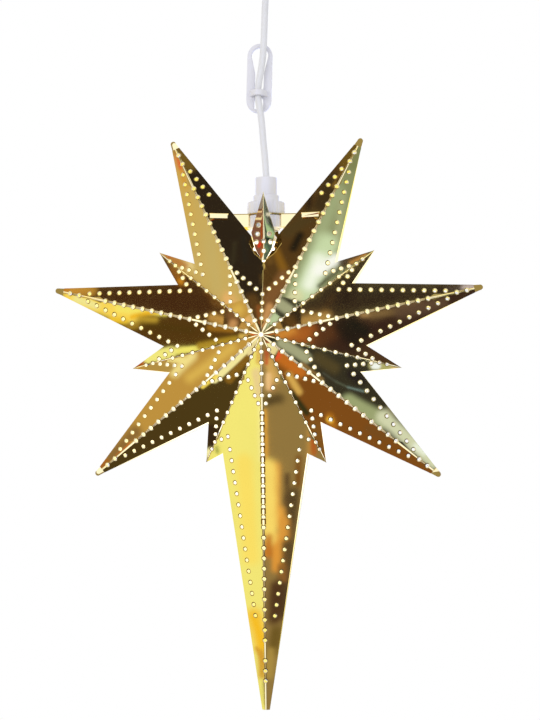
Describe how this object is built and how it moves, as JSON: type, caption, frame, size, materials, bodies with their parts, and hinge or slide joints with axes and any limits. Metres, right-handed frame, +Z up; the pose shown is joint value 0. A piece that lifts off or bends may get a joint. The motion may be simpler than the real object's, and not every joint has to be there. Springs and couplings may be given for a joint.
{
  "type": "led christmas star",
  "caption": "Hanging lit star of folded, pierced mirror-brass sheet with a long lower ray, white lampholder, cord with height adjuster and ceiling rose.",
  "frame": {"origin": "middle of the ceiling rose's flat face, where it meets the ceiling", "axes": "+Z up, the star hangs down along -Z and its front faces -Y, +X to the viewer's right"},
  "size_m": [0.4446, 0.1054, 0.8111],
  "materials": {
    "white_plastic": "smooth white moulding",
    "cord_sheath": "white flexible sheath",
    "core_sheath": "thin insulated wire",
    "mirror_brass": "polished, lacquered",
    "contact_brass": "stamped",
    "zinc_steel": "zinc plated",
    "nickel": "nickel plated",
    "dark_glass": "opaque black insulator",
    "opal_glass": "opal white, lit",
    "light_board": "white coated",
    "light_chip": "lit"
  },
  "bodies": {
    "rose": {"ceiling_rose_base": "white_plastic", "suspension_hook": "zinc_steel", "terminal_block": "white_plastic", "terminal_screw_live": "contact_brass", "terminal_screw_neutral": "contact_brass"},
    "rose_cover": {"ceiling_rose_cover": "white_plastic"},
    "ring": {"suspension_ring": "zinc_steel"},
    "lamp_contact": {"lamp_contact": "nickel"},
    "lamp": {"lamp_screw_cap": "nickel", "lamp_insulator": "dark_glass", "lamp_collar": "white_plastic", "lamp_globe": "opal_glass", "light_board": "light_board", "light_chip_1": "light_chip", "light_chip_2": "light_chip", "light_chip_3": "light_chip", "light_chip_4": "light_chip", "light_chip_5": "light_chip", "light_chip_6": "light_chip"},
    "star": {"cord_clamp": "white_plastic", "clamp_screw": "zinc_steel", "cord": "cord_sheath", "cord_core_live": "core_sheath", "cord_core_neutral": "core_sheath", "cord_adjuster": "white_plastic", "cap_cord_grip": "white_plastic", "lampholder_cap": "white_plastic", "lampholder_body": "white_plastic", "contact_carrier": "white_plastic", "screw_shell": "contact_brass", "centre_contact": "contact_brass", "holder_screw_live": "zinc_steel", "holder_screw_neutral": "zinc_steel", "upper_shade_ring": "white_plastic", "lower_shade_ring": "white_plastic", "lamp_bridge": "mirror_brass", "front_shell": "mirror_brass", "back_shell": "mirror_brass"}
  },
  "joints": [
    {"name": "cover_slide", "type": "slide", "parent": "rose", "child": "rose_cover", "axis": [0, 0, -1], "range_m": [0, 0.018]},
    {"name": "ring_swing", "type": "hinge", "parent": "rose", "child": "ring", "pos_m": [0, 0, -0.0138], "axis": [1, 0, 0], "range_deg": [-4, 4]},
    {"name": "star_swing", "type": "hinge", "parent": "ring", "child": "star", "pos_m": [0, 0, -0.02375], "axis": [0, 1, 0], "range_deg": [-4, 4]},
    {"name": "lamp_travel", "type": "slide", "parent": "star", "child": "lamp_contact", "axis": [0, 0, -1], "range_m": [0, 0.01411]},
    {"name": "lamp_turn", "type": "hinge", "parent": "lamp_contact", "child": "lamp", "pos_m": [0, 0, -0.3], "axis": [0, 0, -1], "range_deg": [0, 1800]}
  ],
  "couplings": [
    {"joint": "lamp_travel", "follows": "lamp_turn", "m_per_rad": 0.00044882}
  ]
}
